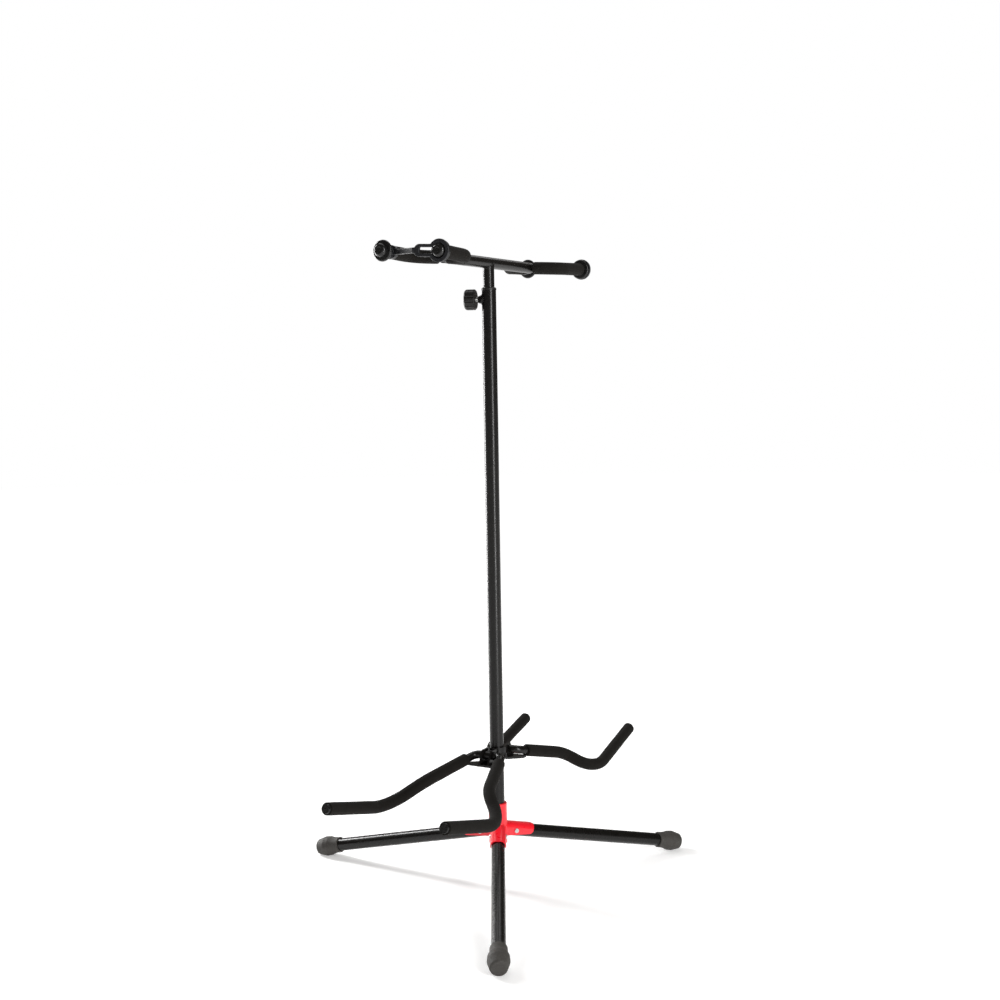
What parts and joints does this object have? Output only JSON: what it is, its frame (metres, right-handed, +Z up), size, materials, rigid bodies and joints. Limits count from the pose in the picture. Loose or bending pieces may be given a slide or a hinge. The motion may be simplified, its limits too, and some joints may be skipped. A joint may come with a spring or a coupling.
{
  "type": "double guitar rack",
  "caption": "Free-standing rack for two guitars back to back: telescopic post on a folding tripod, padded neck yokes with straps, and padded body cradles.",
  "frame": {"origin": "point on the floor under the post's axis", "axes": "+Z up along the post, -Y towards the front guitar, +X to the right seen from the front"},
  "size_m": [0.4689, 0.5533, 0.8669],
  "materials": {
    "black_paint": "satin black powder coat",
    "red_paint": "gloss red paint",
    "zinc_steel": "zinc plated steel",
    "foot_rubber": "matt dark grey rubber",
    "black_foam": "matt closed cell foam",
    "black_rubber": "smooth black rubber",
    "black_plastic": "moulded black plastic",
    "brass_pad": "turned brass",
    "black_steel_screw": "blackened steel"
  },
  "bodies": {
    "stand": {"lower_tube": "black_paint", "post_plug": "black_plastic", "post_bush": "black_plastic", "clamp_nut": "black_paint", "hub_sleeve": "red_paint", "leg_bracket_front": "red_paint", "leg_bracket_rear": "red_paint", "leg_bracket_left": "red_paint", "leg_rivet_front": "zinc_steel", "leg_rivet_rear": "zinc_steel", "leg_rivet_left": "zinc_steel", "cradle_bracket_front": "black_paint", "cradle_bracket_rear": "black_paint", "bracket_screw_front": "black_steel_screw", "bracket_screw_rear": "black_steel_screw"},
    "leg_front": {"leg_tube_front": "black_paint", "leg_foot_front": "foot_rubber"},
    "leg_rear": {"leg_tube_rear": "black_paint", "leg_foot_rear": "foot_rubber"},
    "leg_left": {"leg_tube_left": "black_paint", "leg_foot_left": "foot_rubber"},
    "cradle_front": {"cradle_tube_front": "black_paint", "cradle_foam_front_left": "black_foam", "cradle_foam_front_right": "black_foam", "cradle_plug_front_left": "black_rubber", "cradle_plug_front_right": "black_rubber"},
    "cradle_rear": {"cradle_tube_rear": "black_paint", "cradle_foam_rear_left": "black_foam", "cradle_foam_rear_right": "black_foam", "cradle_plug_rear_left": "black_rubber", "cradle_plug_rear_right": "black_rubber"},
    "clamp_pad": {"pressure_pad": "brass_pad"},
    "clamp_knob": {"clamp_screw": "zinc_steel", "knob": "black_plastic"},
    "mast_guide": {"guide_bush": "black_plastic"},
    "head": {"upper_tube": "black_paint", "crossbar": "black_paint", "yoke_tube_front": "black_paint", "strap_loop_front": "black_rubber", "yoke_foam_front_left": "black_foam", "yoke_foam_front_right": "black_foam", "yoke_cap_front_left": "black_rubber", "yoke_cap_front_right": "black_rubber", "yoke_tube_rear": "black_paint", "strap_loop_rear": "black_rubber", "yoke_foam_rear_left": "black_foam", "yoke_foam_rear_right": "black_foam", "yoke_cap_rear_left": "black_rubber", "yoke_cap_rear_right": "black_rubber"},
    "strap_front": {"strap_front": "black_rubber"},
    "strap_rear": {"strap_rear": "black_rubber"}
  },
  "joints": [
    {"name": "leg_front_fold", "type": "hinge", "parent": "stand", "child": "leg_front", "pos_m": [0.0115, -0.01992, 0.07676], "axis": [0.866, 0.5, 0], "range_deg": [0, 76.7]},
    {"name": "leg_rear_fold", "type": "hinge", "parent": "stand", "child": "leg_rear", "pos_m": [0.0115, 0.01992, 0.07676], "axis": [-0.866, 0.5, 0], "range_deg": [0, 76.7]},
    {"name": "leg_left_fold", "type": "hinge", "parent": "stand", "child": "leg_left", "pos_m": [-0.023, 0, 0.07676], "axis": [0, -1, 0], "range_deg": [0, 76.7]},
    {"name": "cradle_front_fold", "type": "hinge", "parent": "stand", "child": "cradle_front", "pos_m": [0, -0.022, 0.188], "axis": [-1, 0, 0], "range_deg": [0, 90]},
    {"name": "cradle_rear_fold", "type": "hinge", "parent": "stand", "child": "cradle_rear", "pos_m": [-0.0013, 0.02196, 0.188], "axis": [0.9982, 0.0593, 0], "range_deg": [0, 90]},
    {"name": "clamp_feed", "type": "slide", "parent": "stand", "child": "clamp_pad", "axis": [-0.9455, -0.3256, 0], "range_m": [0, 0.0015]},
    {"name": "knob_turn", "type": "hinge", "parent": "clamp_pad", "child": "clamp_knob", "pos_m": [0, 0, 0.8], "axis": [-0.9455, -0.3256, 0], "range_deg": [0, 540]},
    {"name": "mast_lift", "type": "slide", "parent": "stand", "child": "mast_guide", "axis": [0, 0, 1], "range_m": [-0.02, 0.22]},
    {"name": "mast_turn", "type": "hinge", "parent": "mast_guide", "child": "head", "pos_m": [0, 0, 0.5], "axis": [0, 0, 1], "range_deg": [-90, 90]},
    {"name": "strap_front_swing", "type": "hinge", "parent": "head", "child": "strap_front", "pos_m": [-0.0263, -0.17356, 0.85198], "axis": [-0.0627, -0.0383, -0.9973], "range_deg": [0, 60]},
    {"name": "strap_rear_swing", "type": "hinge", "parent": "head", "child": "strap_rear", "pos_m": [-0.0263, 0.17356, 0.85198], "axis": [0.0627, -0.0383, 0.9973], "range_deg": [0, 60]}
  ],
  "couplings": [
    {"joint": "knob_turn", "follows": "clamp_feed", "rad_per_m": 6283.2}
  ]
}
